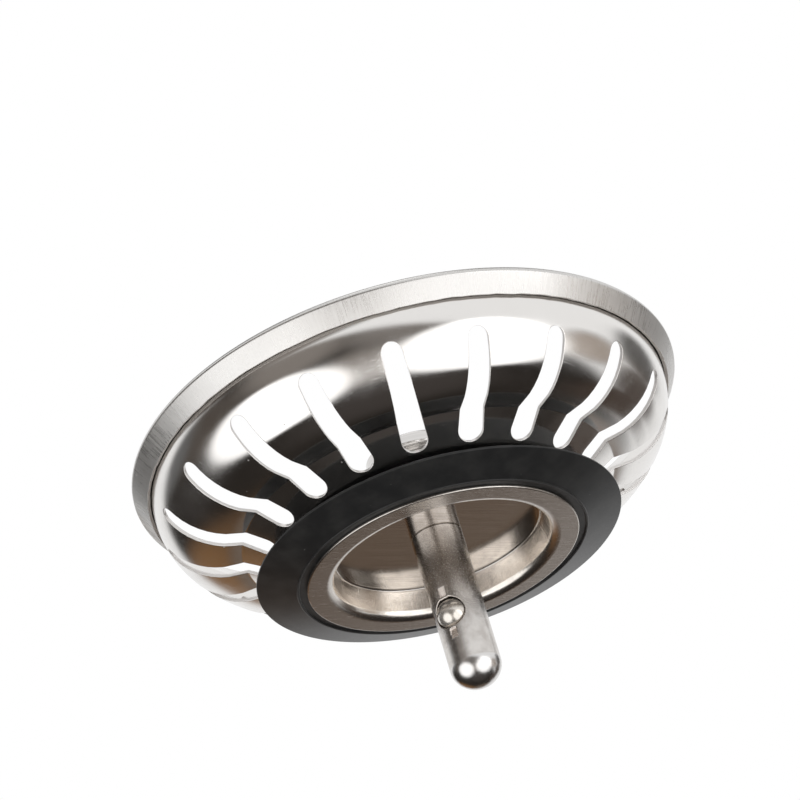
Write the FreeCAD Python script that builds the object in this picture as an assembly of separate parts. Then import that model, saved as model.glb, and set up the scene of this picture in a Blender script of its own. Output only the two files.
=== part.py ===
import FreeCAD, Part
import math
import os

# Sink strainer in its position of use, pin down.
# Millimetres, Z up. The origin is on the axis, where the pin leaves the recess floor of the seal carrier.

os.makedirs("parts", exist_ok=True)
Vector = FreeCAD.Vector

# Values that every piece uses
cut_overrun = 1.0
join_tolerance = 0.000001
upward = Vector(0, 0, 1)
sideways = Vector(0, 1, 0)
ball_direction = Vector(0, -1, 0)

# Screwed joint in the middle
thread_diameter = 5.0
thread_play = 0.05
hole_play = 0.15
thread_engagement = 8.0
gasket_thickness = 0.3
gasket_diameter = 14.0
washer_thickness = 1.2
washer_diameter = 9.2
washer_split = 0.8
washer_split_slant = 25.0

# Basket bowl, measured on its inner face
rim_diameter = 79.3
bowl_sheet = 0.5
bowl_depth = 15.1
lip_gap = 0.2
lip_length = 2.85
flare_length = 2.95
flare_lean = 35.7
flare_bend = 1.2
wall_bend = 9.3
shelf_width = 1.0
shelf_rise = 2.65
cone_run = 4.3
crease_bend = 0.5
floor_bend = 1.2

# Drain slots, punched square to the line from their foot to their head
slot_count = 20
slot_head_width = 2.7
slot_foot_width = 3.45
slot_head_share = 0.745
slot_foot_share = 0.06

# Seal carrier, measured on its lower face
carrier_sheet = 0.5
recess_depth = 4.25
recess_draft = 0.65
recess_bend = 0.6
flange_inset = 2.9
flange_width = 3.85
flange_bend = 0.5

# Rubber seal
seal_play = 0.2
seal_inset = 1.25
seal_lip_reach = 5.45
seal_lip_drop = 3.15
seal_lip_edge = 0.45
seal_bead_width = 0.95
seal_bead_height = 0.25
seal_groove_depth = 0.2
seal_edge_bend = 0.12

# Pin
pin_root_diameter = 7.2
pin_diameter = 7.05
pin_length = 23.25
dome_height = 3.25
guide_length = 3.0
dome_fullness_share = 0.5523

# Detent in the pin
detent_drop = 12.9
ball_diameter = 4.3
ball_stand = 0.85
ball_play = 0.05
detent_back_wall = 1.1
stake_width = 1.05
stake_land = 0.15
stake_reach = 0.43
stake_length = 1.5
stake_depth = 0.3
spring_wire = 0.4
spring_diameter = 3.0
spring_turns = 4

# Knob
knob_diameter = 13.6
knob_height = 12.0
knob_crown = 1.15
knob_band = 1.85
knob_stem_diameter = 8.4
knob_flare = 2.0
knob_edge_bend = 0.5
knob_hole_run_out = 1.0

# Levels and radii that follow from the sizes above
bowl_floor_under = carrier_sheet + gasket_thickness
bowl_floor = bowl_floor_under + bowl_sheet
knob_foot = bowl_floor + washer_thickness
rim_radius = rim_diameter / 2
rim_level = bowl_floor + bowl_depth
fold_bend = bowl_sheet + lip_gap / 2
flare_out = math.sin(math.radians(flare_lean))
flare_up = math.cos(math.radians(flare_lean))
fold_radius = rim_radius - fold_bend
fold_level = rim_level - fold_bend
wall_radius = fold_radius - fold_bend * flare_up - flare_length * flare_out
crease_radius = wall_radius - wall_bend - shelf_width
floor_radius = crease_radius - cone_run
shelf_level = bowl_floor + shelf_rise
cone_angle = math.atan2(shelf_rise, cone_run)
corner_shift = bowl_sheet * math.tan(cone_angle / 2)
flange_radius = floor_radius - flange_inset
mouth_radius = flange_radius - flange_width
recess_radius = mouth_radius - recess_draft
flange_top = carrier_sheet - recess_depth
thread_radius = thread_diameter / 2
stud_hole_radius = thread_radius + hole_play
pin_radius = pin_diameter / 2
ball_radius = ball_diameter / 2
ball_out = pin_radius + ball_stand - ball_radius
ball_centre = ball_direction * ball_out - upward * detent_drop
detent_bore = ball_radius + ball_play
detent_back = pin_radius - detent_back_wall


def bent_wire(corners, closed=False):
    """Wire in the X, Z plane through (radius, level, bend) corners: straight runs joined by tangent arcs."""
    points = [Vector(radius, 0, level) for radius, level, bend in corners]
    count = len(points)
    starts = list(points)
    ends = list(points)
    arcs = {}
    for i in range(count):
        bend = corners[i][2]
        if not bend:
            continue
        back = (points[i - 1] - points[i]).normalize()
        ahead = (points[(i + 1) % count] - points[i]).normalize()
        half_angle = back.getAngle(ahead) / 2
        inward = (back + ahead).normalize()
        starts[i] = points[i] + back * (bend / math.tan(half_angle))
        ends[i] = points[i] + ahead * (bend / math.tan(half_angle))
        middle = points[i] + inward * (bend / math.sin(half_angle) - bend)
        arcs[i] = Part.Arc(starts[i], middle, ends[i]).toShape()
    edges = []
    for i in range(count):
        if i in arcs:
            edges.append(arcs[i])
        following = (i + 1) % count
        is_last = following == 0 and not closed
        if not is_last and (starts[following] - ends[i]).Length > join_tolerance:
            edges.append(Part.LineSegment(ends[i], starts[following]).toShape())
    return Part.Wire(edges)


def turned(face):
    """Solid of revolution about the part's own axis."""
    return face.revolve(Vector(), upward, 360)


def turned_outline(corners):
    """Solid turned from a closed outline of (radius, level, bend) corners."""
    return turned(Part.Face(bent_wire(corners, closed=True)))


def pressed_sheet(corners, sheet, side):
    """Turned sheet of even thickness; side is +1 or -1, the side of the path that the metal lies on."""
    path = bent_wire(corners)
    return turned(path.makeOffset2D(side * sheet, fill=True, openResult=True))


def ring(outer_radius, inner_radius, bottom, height):
    """Plain washer that stands on the level given as bottom."""
    disc = Part.makeCylinder(outer_radius, height, upward * bottom)
    return disc.cut(Part.makeCylinder(inner_radius, height, upward * bottom))


def slot_outline(length):
    """Flat outline of a drain slot along X: its foot end at the origin, its head end at length."""
    foot = slot_foot_width / 2
    head = slot_head_width / 2
    foot_centre = Vector(foot, 0, 0)
    head_centre = Vector(length - head, 0, 0)
    taper = math.asin((foot - head) / (head_centre - foot_centre).Length)
    flank = Vector(math.sin(taper), math.cos(taper), 0)
    mirrored = Vector(flank.x, -flank.y, 0)
    foot_left = foot_centre + flank * foot
    foot_right = foot_centre + mirrored * foot
    head_left = head_centre + flank * head
    head_right = head_centre + mirrored * head
    edges = [
        Part.Arc(foot_right, Vector(), foot_left).toShape(),
        Part.LineSegment(foot_left, head_left).toShape(),
        Part.Arc(head_left, Vector(length, 0, 0), head_right).toShape(),
        Part.LineSegment(head_right, foot_right).toShape(),
    ]
    return Part.Face(Part.Wire(edges))


def slot_cutter():
    """Punch for one slot, over +X, from below the outer face of the wall to well inside the bowl."""
    outer_bend = wall_bend + bowl_sheet
    climb = slot_head_share * math.pi / 2
    head_radius = wall_radius - wall_bend + outer_bend * math.sin(climb)
    head_level = shelf_level + wall_bend - outer_bend * math.cos(climb)
    foot_radius = floor_radius + corner_shift + slot_foot_share * cone_run
    foot_level = bowl_floor_under + slot_foot_share * shelf_rise
    run = head_radius - foot_radius
    rise = head_level - foot_level
    punch = slot_outline(math.hypot(run, rise)).extrude(upward * (2 * outer_bend))
    punch.translate(upward * -outer_bend)
    punch.rotate(Vector(), sideways, -math.degrees(math.atan2(rise, run)))
    punch.translate(Vector(foot_radius, 0, foot_level))
    return punch


def on_flare(side, along):
    """Radius and level of a point on the flared rim: side -1 is its inner face, +1 the lip folded under it."""
    radius = fold_radius + side * fold_bend * flare_up + along * flare_out
    level = fold_level - side * fold_bend * flare_out + along * flare_up
    return radius, level


def make_basket_bowl():
    """Pressed dish with a flared rim, its edge folded under as a lip, and drain slots all round."""
    sheet = pressed_sheet(
        [
            (stud_hole_radius, bowl_floor, 0),
            (floor_radius, bowl_floor, floor_bend),
            (crease_radius, shelf_level, crease_bend + bowl_sheet),
            (wall_radius, shelf_level, wall_bend),
            (*on_flare(-1, -flare_length), flare_bend),
            (*on_flare(-1, fold_bend), fold_bend),
            (*on_flare(1, fold_bend), fold_bend),
            (*on_flare(1, -lip_length), 0),
        ],
        bowl_sheet,
        -1,
    )
    pitch = 360 / slot_count
    cutter = slot_cutter()
    cutters = []
    for i in range(slot_count):
        punch = cutter.copy()
        punch.rotate(Vector(), upward, (i + 1 / 2) * pitch)
        cutters.append(punch)
    return sheet.cut(Part.makeCompound(cutters))


def make_seal_carrier():
    """Pressed cup: floor against the gasket, tapered wall, flat flange under the seal."""
    return pressed_sheet(
        [
            (stud_hole_radius, 0, 0),
            (recess_radius, 0, recess_bend),
            (mouth_radius, -recess_depth, flange_bend + carrier_sheet),
            (flange_radius, -recess_depth, 0),
        ],
        carrier_sheet,
        1,
    )


def make_rubber_seal():
    """Moulded ring between the bowl's floor and the carrier's flange, with a thin conical lip."""
    wall_slope = math.atan2(recess_depth, recess_draft)
    wall_outside = mouth_radius + carrier_sheet / math.tan(wall_slope / 2)
    bore = wall_outside + flange_bend + seal_play
    top_radius = floor_radius - seal_inset
    groove = flange_radius + seal_play
    bead = groove + seal_bead_width
    groove_level = flange_top - seal_groove_depth
    bead_level = groove_level - seal_bead_height
    lip = bead + seal_lip_reach
    lip_level = bowl_floor_under - seal_lip_drop
    return turned_outline(
        [
            (bore, bowl_floor_under, 0),
            (top_radius, bowl_floor_under, seal_edge_bend),
            (lip, lip_level + seal_lip_edge, seal_edge_bend),
            (lip, lip_level, seal_edge_bend),
            (bead, bead_level, seal_edge_bend),
            (bead, groove_level, 0),
            (groove, groove_level, 0),
            (groove, flange_top, 0),
            (bore, flange_top, 0),
        ]
    )


def make_floor_gasket():
    """Thin washer that seals the hole for the pin, between the two floors."""
    return ring(gasket_diameter / 2, stud_hole_radius, carrier_sheet, gasket_thickness)


def make_lock_washer():
    """Split spring washer, pressed flat between the bowl's floor and the knob."""
    washer = ring(washer_diameter / 2, stud_hole_radius, bowl_floor, washer_thickness)
    saw = Part.makeBox(
        washer_diameter,
        washer_split,
        washer_diameter,
        Vector(0, -washer_split / 2, -washer_diameter / 2),
    )
    saw.rotate(Vector(), Vector(1, 0, 0), washer_split_slant)
    saw.translate(upward * (bowl_floor + washer_thickness / 2))
    return washer.cut(saw)


def make_knob():
    """Mushroom knob with a domed top, a round edge and a tapped hole from below."""
    top = knob_foot + knob_height
    band_top = top - knob_crown
    band_foot = band_top - knob_band
    stem = knob_stem_diameter / 2
    head = knob_diameter / 2
    flare = min(knob_flare, head - stem - knob_edge_bend)
    bends = bent_wire(
        [
            (0, knob_foot, 0),
            (stem, knob_foot, knob_edge_bend),
            (stem, band_foot, flare),
            (head, band_foot, knob_edge_bend),
            (head, band_top, 0),
        ]
    )
    dome_radius = (head * head + knob_crown * knob_crown) / (2 * knob_crown)
    half_turn = math.asin(head / dome_radius) / 2
    dome_centre = top - dome_radius
    shoulder = Vector(dome_radius * math.sin(half_turn), 0, dome_centre + dome_radius * math.cos(half_turn))
    dome = Part.Arc(Vector(head, 0, band_top), shoulder, Vector(0, 0, top)).toShape()
    core = Part.LineSegment(Vector(0, 0, top), Vector(0, 0, knob_foot)).toShape()
    blank = turned(Part.Face(Part.Wire(bends.Edges + [dome, core])))
    depth = thread_engagement + knob_hole_run_out
    hole = Part.makeCylinder(thread_radius, depth + cut_overrun, upward * (knob_foot - cut_overrun))
    return blank.cut(hole)


def stake_wedge(direction):
    """Punch mark beside the cross hole: deepest at the hole's end; direction is +1 above, -1 below."""
    near = detent_bore + stake_land
    far = near + stake_length
    surface = pin_radius + stake_depth
    profile = [
        Vector(0, -surface, direction * near),
        Vector(0, -(pin_radius - stake_depth), direction * near),
        Vector(0, -pin_radius, direction * far),
        Vector(0, -surface, direction * far),
    ]
    wedge = Part.Face(Part.makePolygon(profile + profile[:1])).extrude(Vector(stake_width, 0, 0))
    wedge.translate(Vector(-stake_width / 2, 0, -detent_drop))
    return wedge


def stake_lip(direction):
    """Block of metal that the punch pushes over the ball, inside the mouth of the hole."""
    foot = direction * detent_bore
    low = min(foot, foot - direction * stake_reach)
    block = Part.makeBox(
        stake_width,
        pin_radius - ball_out + cut_overrun,
        stake_reach,
        Vector(-stake_width / 2, -(pin_radius + cut_overrun), low - detent_drop),
    )
    return block.cut(Part.makeSphere(detent_bore + ball_play, ball_centre))


def detent_cutter():
    """Blind cross hole for the ball and its spring, with two stake lips left at its mouth."""
    depth = detent_back + pin_radius + cut_overrun
    mouth = ball_direction * (pin_radius + cut_overrun) - upward * detent_drop
    bore = Part.makeCylinder(detent_bore, depth, mouth, -ball_direction)
    lips = [stake_lip(direction) for direction in (1, -1)]
    return bore.cut(Part.makeCompound(lips))


def make_pin():
    """Shank that tapers slightly to a plain guide, a domed tip below, a threaded stud above."""
    seam = dome_height - pin_length
    guide_top = seam + guide_length
    stud_top = knob_foot + thread_engagement
    stud_radius = thread_radius - thread_play
    sides = Part.makePolygon(
        [
            Vector(pin_radius, 0, seam),
            Vector(pin_radius, 0, guide_top),
            Vector(pin_root_diameter / 2, 0, 0),
            Vector(stud_radius, 0, 0),
            Vector(stud_radius, 0, stud_top),
            Vector(0, 0, stud_top),
            Vector(0, 0, -pin_length),
        ]
    )
    dome = Part.BezierCurve()
    dome.setPoles(
        [
            Vector(0, 0, -pin_length),
            Vector(dome_fullness_share * pin_radius, 0, -pin_length),
            Vector(pin_radius, 0, seam - dome_fullness_share * dome_height),
            Vector(pin_radius, 0, seam),
        ]
    )
    blank = turned(Part.Face(Part.Wire(sides.Edges + [dome.toShape()])))
    wedges = [stake_wedge(direction) for direction in (1, -1)]
    return blank.cut(Part.makeCompound([detent_cutter()] + wedges))


def make_detent_ball():
    """Steel ball, held in by the stake lips and pushed out by the spring."""
    return Part.makeSphere(ball_radius, ball_centre)


def make_detent_spring():
    """Coil spring from the blind end of the cross hole to the back of the ball."""
    coil_radius = (spring_diameter - spring_wire) / 2
    wire_radius = spring_wire / 2
    touch = math.sqrt((ball_radius + wire_radius) ** 2 - coil_radius ** 2)
    start = wire_radius + ball_play - detent_back
    length = ball_out - touch - ball_play - start
    path = Part.makeHelix(length / spring_turns, length, coil_radius)
    section = Part.Wire(Part.makeCircle(wire_radius, Vector(coil_radius, 0, 0), sideways))
    coil = Part.Wire(path).makePipeShell([section], True, True)
    coil.rotate(Vector(), Vector(1, 0, 0), 90)
    coil.translate(ball_direction * start - upward * detent_drop)
    return coil


pieces = {
    "basket_bowl": make_basket_bowl,
    "knob": make_knob,
    "lock_washer": make_lock_washer,
    "floor_gasket": make_floor_gasket,
    "seal_carrier": make_seal_carrier,
    "rubber_seal": make_rubber_seal,
    "pin": make_pin,
    "detent_ball": make_detent_ball,
    "detent_spring": make_detent_spring,
}
for name, make in pieces.items():
    shape = make()
    shape.exportStep(os.path.join("parts", name + ".step"))
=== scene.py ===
import math

import bpy
import numpy as np
from mathutils import Matrix, Vector


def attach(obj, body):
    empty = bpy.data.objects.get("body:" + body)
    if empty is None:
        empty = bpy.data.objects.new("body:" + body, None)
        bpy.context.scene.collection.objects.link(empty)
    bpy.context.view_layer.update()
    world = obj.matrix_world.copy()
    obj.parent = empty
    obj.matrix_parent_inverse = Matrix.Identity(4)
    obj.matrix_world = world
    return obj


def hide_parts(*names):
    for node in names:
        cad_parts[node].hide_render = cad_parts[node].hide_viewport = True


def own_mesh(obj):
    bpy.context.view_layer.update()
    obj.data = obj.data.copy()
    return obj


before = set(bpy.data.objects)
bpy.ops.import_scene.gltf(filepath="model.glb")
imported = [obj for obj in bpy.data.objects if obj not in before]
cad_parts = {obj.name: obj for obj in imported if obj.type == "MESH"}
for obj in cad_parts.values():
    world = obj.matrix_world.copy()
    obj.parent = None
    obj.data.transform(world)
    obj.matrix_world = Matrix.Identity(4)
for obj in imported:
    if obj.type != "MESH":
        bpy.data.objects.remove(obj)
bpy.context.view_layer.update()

# Pin: a turned steel bar with a rounded tip, a threaded stud above and a blind cross hole for the ball.
# The shank is blasted to a satin grain, and the dome below the seam is polished bright.
# Two punch marks beside the cross hole push its edge over the ball.
MM, JOIN_DIGITS = 1000.0, 5
PIN_RADIUS, PIN_ROOT = 3.525, 3.6
PIN_TIP, PIN_SEAM, GUIDE_TOP = -23.25, -20.0, -17.0
DOME_FULLNESS, DOME_ROWS = 0.5523, 22
ROOT_EDGE = 0.16
STUD_RADIUS, STUD_TOP, STUD_CHAMFER = 2.45, 10.5, 0.4
THREAD_FOOT, THREAD_PITCH, THREAD_DEPTH, THREAD_TURNS = 0.8, 0.8, 0.4, 11
BALL_LEVEL = -12.9
BORE_RADIUS, BORE_BACK, BORE_ROWS = 2.2, 2.425, (-0.8, 0.8)
BORE_END_SHARES = (0.95, 0.5, 0.0)
MOUTH_EDGE = 0.13
STAKE_WIDTH, STAKE_LENGTH, STAKE_DEPTH, STAKE_LAND = 1.05, 1.5, 0.3, 0.15
STAKE_WALL = 1.8
STAKE_LIP, STAKE_LIP_DEPTH, STAKE_LIP_FADE = 0.14, 0.3, 0.2
# EDGE_SHINE and LIP_SHINE are painted highlight: the share of the lighter punch-mark steel given to the
# hole's rounded edge and its lip.
STRUCK_LEAST, EDGE_SHINE, LIP_SHINE = 0.01, 0.6, 0.3
PIN_COLUMNS = 120
WINDOW_COLUMNS, WINDOW_ROWS, WINDOW_HALF = 18, 30, 4.5
MOUTH_ROWS, MOUTH_CROWDING, EDGE_ROWS = 22, 1.3, 4
SEAM_BLUR = 0.04
SMOOTH_BELOW, BLASTED_ABOVE = -17.5, -11.0
SHANK_DARK, SHANK_LIGHT = (0.5, 0.47, 0.445, 1), (0.66, 0.635, 0.61, 1)
# The lighter steel is the colour of the punch marks, and also a painted highlight on the grain's glints and
# on the hole's edge.
DOME_STEEL, STRUCK_AND_SHINE_STEEL = (0.68, 0.665, 0.655, 1), (0.83, 0.755, 0.7, 1)
GRAIN_SPAN, PATCH_SPAN = (0.25, 0.75), (0.3, 0.7)
GLINT_SPAN, GLINT_SHARE = (0.66, 0.78), 0.5
SMOOTH_ROUGH, BLASTED_ROUGH = (0.1, 0.2), (0.03, 0.1)
STRUCK_ROUGH, DOME_ROUGH = 0.12, 0.07
PIN_GRAIN, PIN_RELIEF, GRAIN_HEIGHT = 0.13, (0.026, 0.65), (0.6, 1.1)
PATCH_SCALE, SMUDGE_SCALE = 0.45, 0.12
SPECK_CHANCE, DUST_SCALE, DUST_SIZE = (0.6, 1.0), 0.55, 0.07
SCRATCH_AXIS, SCRATCH_SPAN = (0.3, 0.5, 0.8), (0.69, 0.73)
SCRATCHES = ((0.3, 5.2, 0.09), (1.2, 6.1, 0.12), (2.3, 5.7, 0.1))


def unit(v):
    """Vector of length 1."""
    return v / np.linalg.norm(v)


def shank_radius(level):
    """Radius of the shank, which tapers slightly down to its plain guide."""
    return float(np.interp(level, (GUIDE_TOP, 0.0), (PIN_RADIUS, PIN_ROOT)))


def struck_depth(x, level):
    """Depth of the punch marks above and below the cross hole."""
    away = abs(level - BALL_LEVEL) - BORE_RADIUS - STAKE_LAND
    slope = STAKE_DEPTH * (1 - away / STAKE_LENGTH)
    return max(0.0, min(slope, STAKE_WALL * (STAKE_WIDTH / 2 - abs(x)), STAKE_WALL * away))


def pin_front(x, level):
    """Point on the pin's front, seen along the cross hole."""
    return np.array([x, struck_depth(x, level) - math.sqrt(shank_radius(level) ** 2 - x * x), level])


def pin_front_normal(x, level, step=0.02):
    """Normal of the pin's front, from points just beside the place."""
    across = pin_front(x + step, level) - pin_front(x - step, level)
    upward = pin_front(x, level + step) - pin_front(x, level - step)
    return unit(np.cross(across, upward))


def pin_profile():
    """Rows (radius, level, normal out, normal up) of the pin from its tip to the top of its stud."""
    rows = []
    poles = np.array([
        (0.0, PIN_TIP), (DOME_FULLNESS * PIN_RADIUS, PIN_TIP),
        (PIN_RADIUS, PIN_SEAM - DOME_FULLNESS * (PIN_SEAM - PIN_TIP)), (PIN_RADIUS, PIN_SEAM),
    ])
    for k in range(DOME_ROWS + 1):
        a = k / DOME_ROWS
        place = np.array([(1 - a) ** 3, 3 * a * (1 - a) ** 2, 3 * a * a * (1 - a), a ** 3]) @ poles
        along = np.array([(1 - a) ** 2, 2 * a * (1 - a), a * a]) @ np.diff(poles, axis=0)
        rows.append((*place, *unit(np.array([along[1], -along[0]]))))
    for k in range(WINDOW_ROWS + 1):
        level = BALL_LEVEL - WINDOW_HALF + 2 * WINDOW_HALF * k / WINDOW_ROWS
        rows.append((shank_radius(level), level, 1.0, 0.0))
    rows.append((shank_radius(-ROOT_EDGE), -ROOT_EDGE, 1.0, 0.0))
    for k in range(1, EDGE_ROWS + 1):
        bend = math.pi / 2 * k / EDGE_ROWS
        radius = PIN_ROOT - ROOT_EDGE * (1 - math.cos(bend))
        rows.append((radius, ROOT_EDGE * (math.sin(bend) - 1), math.cos(bend), math.sin(bend)))
    rows.append((STUD_RADIUS, 0.0, 1.0, 1.0))
    for k in range(2 * THREAD_TURNS + 1):
        rows.append((STUD_RADIUS - THREAD_DEPTH * (k % 2), THREAD_FOOT + k * THREAD_PITCH / 2, 1.0, 0.0))
    rows.append((STUD_RADIUS, STUD_TOP - STUD_CHAMFER, 1.0, 0.0))
    rows.append((STUD_RADIUS - STUD_CHAMFER, STUD_TOP, 0.0, 1.0))
    rows.append((0.0, STUD_TOP, 0.0, 1.0))
    return rows


def cross_hole_column(angle, outer):
    """Points, normals and weights from the window's rim in to the middle of the hole's blind end: 1 on the
    punch marks, and a painted highlight on the hole's rounded edge and lip.
    """
    toward = np.array([math.cos(angle), math.sin(angle)])
    beside_mark = STAKE_WIDTH / 2 + STAKE_LIP_FADE / 2 - abs(BORE_RADIUS * toward[0])
    lip = STAKE_LIP * np.clip(beside_mark / STAKE_LIP_FADE, 0, 1)
    mouth = BORE_RADIUS - lip
    start = (mouth + MOUTH_EDGE) * toward
    column = []
    for k in range(MOUTH_ROWS - 1, -1, -1):
        x, rise = start + (outer - start) * (k / MOUTH_ROWS) ** MOUTH_CROWDING
        mark = 1.0 if struck_depth(x, BALL_LEVEL + rise) > STRUCK_LEAST else 0.0
        column.append((pin_front(x, BALL_LEVEL + rise), pin_front_normal(x, BALL_LEVEL + rise), mark))
    inward = np.array([-toward[0], 0.0, -toward[1]])
    # The rounded edge and the lip carry a painted highlight as their weight.
    for k in range(1, EDGE_ROWS + 1):
        bend = math.pi / 2 * k / EDGE_ROWS
        x, rise = (mouth + MOUTH_EDGE * (1 - math.sin(bend))) * toward
        sunk = np.array([0.0, MOUTH_EDGE * (1 - math.cos(bend)), 0.0])
        face = pin_front_normal(x, BALL_LEVEL + rise)
        normal = unit(math.cos(bend) * face + math.sin(bend) * inward)
        column.append((pin_front(x, BALL_LEVEL + rise) + sunk, normal, EDGE_SHINE))
    edge = column[-1][0]
    column.append((edge + np.array([0.0, STAKE_LIP_DEPTH - MOUTH_EDGE, 0.0]), inward, LIP_SHINE))
    x, rise = BORE_RADIUS * toward
    depths = [edge[1] + STAKE_LIP_DEPTH + lip, *BORE_ROWS, BORE_BACK]
    column += [(np.array([x, depth, BALL_LEVEL + rise]), inward, 0.0) for depth in depths]
    out_of_hole = np.array([0.0, -1.0, 0.0])
    for share in BORE_END_SHARES:
        column.append((np.array([share * x, BORE_BACK, BALL_LEVEL + share * rise]), out_of_hole, 0.0))
    return column


def grid_faces(rows, columns, closed_rows=False):
    """Quads of a grid of points laid row after row, whose columns go all the way round."""
    faces = []
    for i in range(rows if closed_rows else rows - 1):
        here, there = i * columns, (i + 1) % rows * columns
        for j in range(columns):
            beside = (j + 1) % columns
            faces.append((here + j, here + beside, there + beside, there + j))
    return faces


def pin_mesh():
    """Points, normals, faces and weights of the punch marks and of the painted highlight on the hole's edge:
    turned rows, with rays round the hole in a window.
    """
    rows = pin_profile()
    points, normals, marks, faces = [], [], [], []
    for radius, level, out, up in rows:
        for j in range(PIN_COLUMNS):
            turn = 2 * math.pi * j / PIN_COLUMNS - math.pi
            points.append(np.array([radius * math.sin(turn), -radius * math.cos(turn), level]))
            normals.append(np.array([out * math.sin(turn), -out * math.cos(turn), up]))
            marks.append(0.0)
    low, high = DOME_ROWS + 1, DOME_ROWS + 1 + WINDOW_ROWS
    left, right = PIN_COLUMNS // 2 - WINDOW_COLUMNS, PIN_COLUMNS // 2 + WINDOW_COLUMNS
    for quad in grid_faces(len(rows), PIN_COLUMNS):
        i, j = divmod(quad[0], PIN_COLUMNS)
        if not (low <= i < high and left <= j < right):
            faces.append(quad)
    window = [(low, j) for j in range(left, right)] + [(i, right) for i in range(low, high)]
    window += [(high, j) for j in range(right, left, -1)] + [(i, left) for i in range(high, low, -1)]
    chains = []
    for i, j in window:
        outer = i * PIN_COLUMNS + j
        rim = np.array([points[outer][0], points[outer][2] - BALL_LEVEL])
        chain = [outer]
        for point, normal, mark in cross_hole_column(math.atan2(rim[1], rim[0]), rim):
            chain.append(len(points))
            points.append(point)
            normals.append(normal)
            marks.append(mark)
        chains.append(chain)
    for here, beside in zip(chains, chains[1:] + chains[:1]):
        faces += [(here[k], beside[k], beside[k + 1], here[k + 1]) for k in range(len(here) - 1)]
    return points, normals, faces, {"struck_and_shine": marks}


def placed(name, data):
    """New object in the scene."""
    made = bpy.data.objects.new(name, data)
    bpy.context.scene.collection.objects.link(made)
    return made


def solid(name, points, normals, faces, finish, weights=None):
    """Object from points and normals in millimetres; equal points join and faces turn to their normals."""
    index, kept, table = {}, [], []
    for i, point in enumerate(points):
        key = tuple(round(float(c), JOIN_DIGITS) + 0.0 for c in point)
        if key not in index:
            index[key] = len(kept)
            kept.append(i)
        table.append(index[key])
    places = np.array([points[i] for i in kept]) / MM
    facing = np.array([unit(np.array(normals[i])) for i in kept])
    made = []
    for face in faces:
        ring = list(dict.fromkeys(table[i] for i in face))
        if len(ring) < 3:
            continue
        corners = places[ring]
        toward = np.cross(corners[-2] - corners[0], corners[-1] - corners[1 if len(ring) == 4 else 0])
        made.append(ring if toward @ facing[ring].sum(axis=0) > 0 else ring[::-1])
    mesh = bpy.data.meshes.new(name)
    mesh.from_pydata(places.tolist(), [], made)
    mesh.polygons.foreach_set("use_smooth", [True] * len(made))
    mesh.update()
    mesh.normals_split_custom_set_from_vertices(facing.tolist())
    mesh.materials.append(finish)
    for label, values in (weights or {}).items():
        layer = mesh.attributes.new(label, "FLOAT", "POINT")
        layer.data.foreach_set("value", [float(values[i]) for i in kept])
    return placed(name, mesh)


def link(value, target):
    """Links a socket to an input of another node."""
    value.id_data.links.new(value, target)


def add(kind, inputs=None, tree=None, **settings):
    """One shader node, in the given tree or in that of the sockets among its inputs."""
    inputs = inputs or {}
    sockets = {key: value for key, value in inputs.items() if isinstance(value, bpy.types.NodeSocket)}
    home = tree or next(iter(sockets.values())).id_data
    made = home.nodes.new(kind)
    for name, value in settings.items():
        setattr(made, name, value)
    for key, value in inputs.items():
        if key in sockets:
            link(value, made.inputs[key])
        else:
            made.inputs[key].default_value = value
    return made


def maths(operation, first, second=0.0):
    """Socket with one step of plain maths."""
    return add("ShaderNodeMath", {0: first, 1: second}, operation=operation).outputs[0]


def times(first, second):
    """Socket with a product."""
    return maths("MULTIPLY", first, second)


def plus(first, *others):
    """Socket with a sum."""
    for other in others:
        first = maths("ADD", first, other)
    return first


def rest_of(share):
    """Socket with what a share leaves of the whole."""
    return maths("SUBTRACT", 1.0, share)


def vector(operation, first, second=(0, 0, 0), output="Vector"):
    """Socket with one step of vector maths."""
    return add("ShaderNodeVectorMath", {0: first, 1: second}, operation=operation).outputs[output]


def spread(value, low, high, to_low=0.0, to_high=1.0):
    """Socket with value carried smoothly from the span low..high to to_low..to_high."""
    inputs = {0: value, 1: low, 2: high, 3: to_low, 4: to_high}
    return add("ShaderNodeMapRange", inputs, interpolation_type="SMOOTHSTEP").outputs[0]


def tint(share, first, second):
    """Socket with the colour between first and second, which are inputs 6 and 7 of the node."""
    return add("ShaderNodeMix", {0: share, 6: first, 7: second}, data_type="RGBA").outputs[2]


def place_mm(tree):
    """Socket with the place on the part, in millimetres."""
    return vector("MULTIPLY", add("ShaderNodeTexCoord", tree=tree).outputs["Object"], (MM, MM, MM))


def apart(place):
    """Sockets with the three parts of a place."""
    return add("ShaderNodeSeparateXYZ", {0: place}).outputs


def noise(place, scale, detail=2.0, roughness=0.5):
    """Socket with a soft random value between 0 and 1."""
    inputs = {"Vector": place, "Scale": scale, "Detail": detail, "Roughness": roughness}
    return add("ShaderNodeTexNoise", inputs).outputs["Fac"]


def specks(place, scale, channel, size):
    """Socket with a mask of small round specks, of which each cell of the scale holds one at most."""
    cells = add("ShaderNodeTexVoronoi", {"Vector": place, "Scale": scale}).outputs
    chance = add("ShaderNodeSeparateColor", {0: cells["Color"]}).outputs[channel]
    reach = times(spread(chance, *SPECK_CHANCE), size)
    return maths("LESS_THAN", cells["Distance"], reach)


def weight(tree, name):
    """Socket with a weight that the mesh's points carry."""
    return add("ShaderNodeAttribute", tree=tree, attribute_name=name).outputs["Fac"]


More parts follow.
